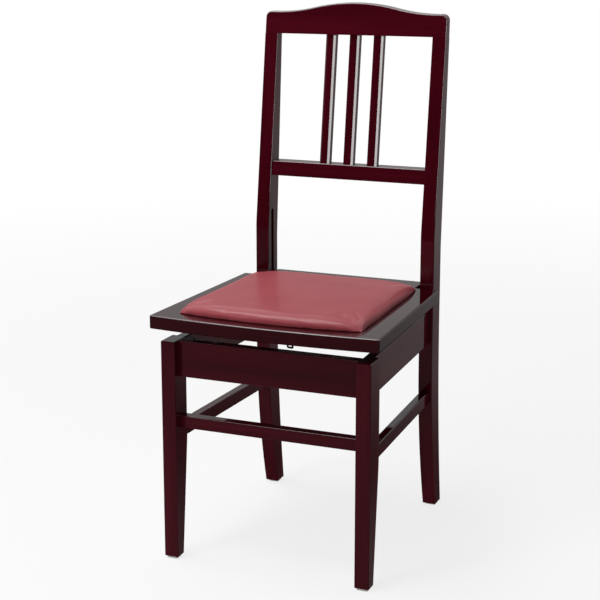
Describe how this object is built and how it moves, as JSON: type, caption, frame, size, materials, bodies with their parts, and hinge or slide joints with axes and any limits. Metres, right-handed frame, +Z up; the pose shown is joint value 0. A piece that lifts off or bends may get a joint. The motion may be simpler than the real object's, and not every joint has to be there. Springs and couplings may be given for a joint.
{
  "type": "piano chair",
  "caption": "High-backed wooden piano chair whose padded seat slides up and down between the back posts and locks on a ratchet.",
  "frame": {"origin": "on the floor, under the middle of the chair's bounding box", "axes": "+Z up, +Y from the front of the seat to the back, +X across to the right as seen from the front"},
  "size_m": [0.4016, 0.4511, 0.9215],
  "materials": {
    "mahogany_lacquer": "gloss lacquer",
    "plain_wood": "bare",
    "cushion_vinyl": "smooth vinyl, satin",
    "black_steel": "black, satin",
    "screw_steel": "zinc plated",
    "nylon": "matte",
    "glide_nylon": "matte",
    "rubber": "matte"
  },
  "bodies": {
    "frame": {"front_leg_left": "mahogany_lacquer", "front_leg_right": "mahogany_lacquer", "back_post_left": "mahogany_lacquer", "back_post_right": "mahogany_lacquer", "front_apron": "mahogany_lacquer", "rear_apron": "mahogany_lacquer", "side_rail_left": "mahogany_lacquer", "side_rail_right": "mahogany_lacquer", "front_stretcher": "mahogany_lacquer", "side_stretcher_left": "mahogany_lacquer", "side_stretcher_right": "mahogany_lacquer", "crest_rail": "mahogany_lacquer", "lower_back_rail": "mahogany_lacquer", "back_slat_left": "mahogany_lacquer", "back_slat_centre": "mahogany_lacquer", "back_slat_right": "mahogany_lacquer", "corner_block_left": "plain_wood", "corner_block_right": "plain_wood", "corner_block_screws": "screw_steel", "slot_rack_left": "screw_steel", "slot_rack_right": "screw_steel", "front_foot_glide_left": "glide_nylon", "front_foot_glide_right": "glide_nylon", "rear_foot_glide_left": "glide_nylon", "rear_foot_glide_right": "glide_nylon"},
    "seat": {"seat_board": "mahogany_lacquer", "cushion_panel": "plain_wood", "seat_cushion": "cushion_vinyl", "seat_buffers": "rubber", "seat_bracket_left": "black_steel", "seat_bracket_right": "black_steel", "cross_tube": "black_steel", "slide_blocks_left": "nylon", "slide_blocks_right": "nylon", "slide_rivets": "screw_steel", "bracket_screws": "screw_steel", "panel_screws": "screw_steel"},
    "latch": {"latch_shaft": "screw_steel", "pawl_left": "screw_steel", "pawl_right": "screw_steel", "release_lever": "black_steel", "torsion_spring": "screw_steel"}
  },
  "joints": [
    {"name": "seat_lift", "type": "slide", "parent": "frame", "child": "seat", "axis": [0, 0, 1], "range_m": [-0.018, 0.09]},
    {"name": "latch_release", "type": "hinge", "parent": "seat", "child": "latch", "pos_m": [0, 0.17055, 0.34], "axis": [1, 0, 0], "range_deg": [0, 4], "stiffness_Nm_per_rad": 0.6, "springref_deg": -17.19}
  ]
}
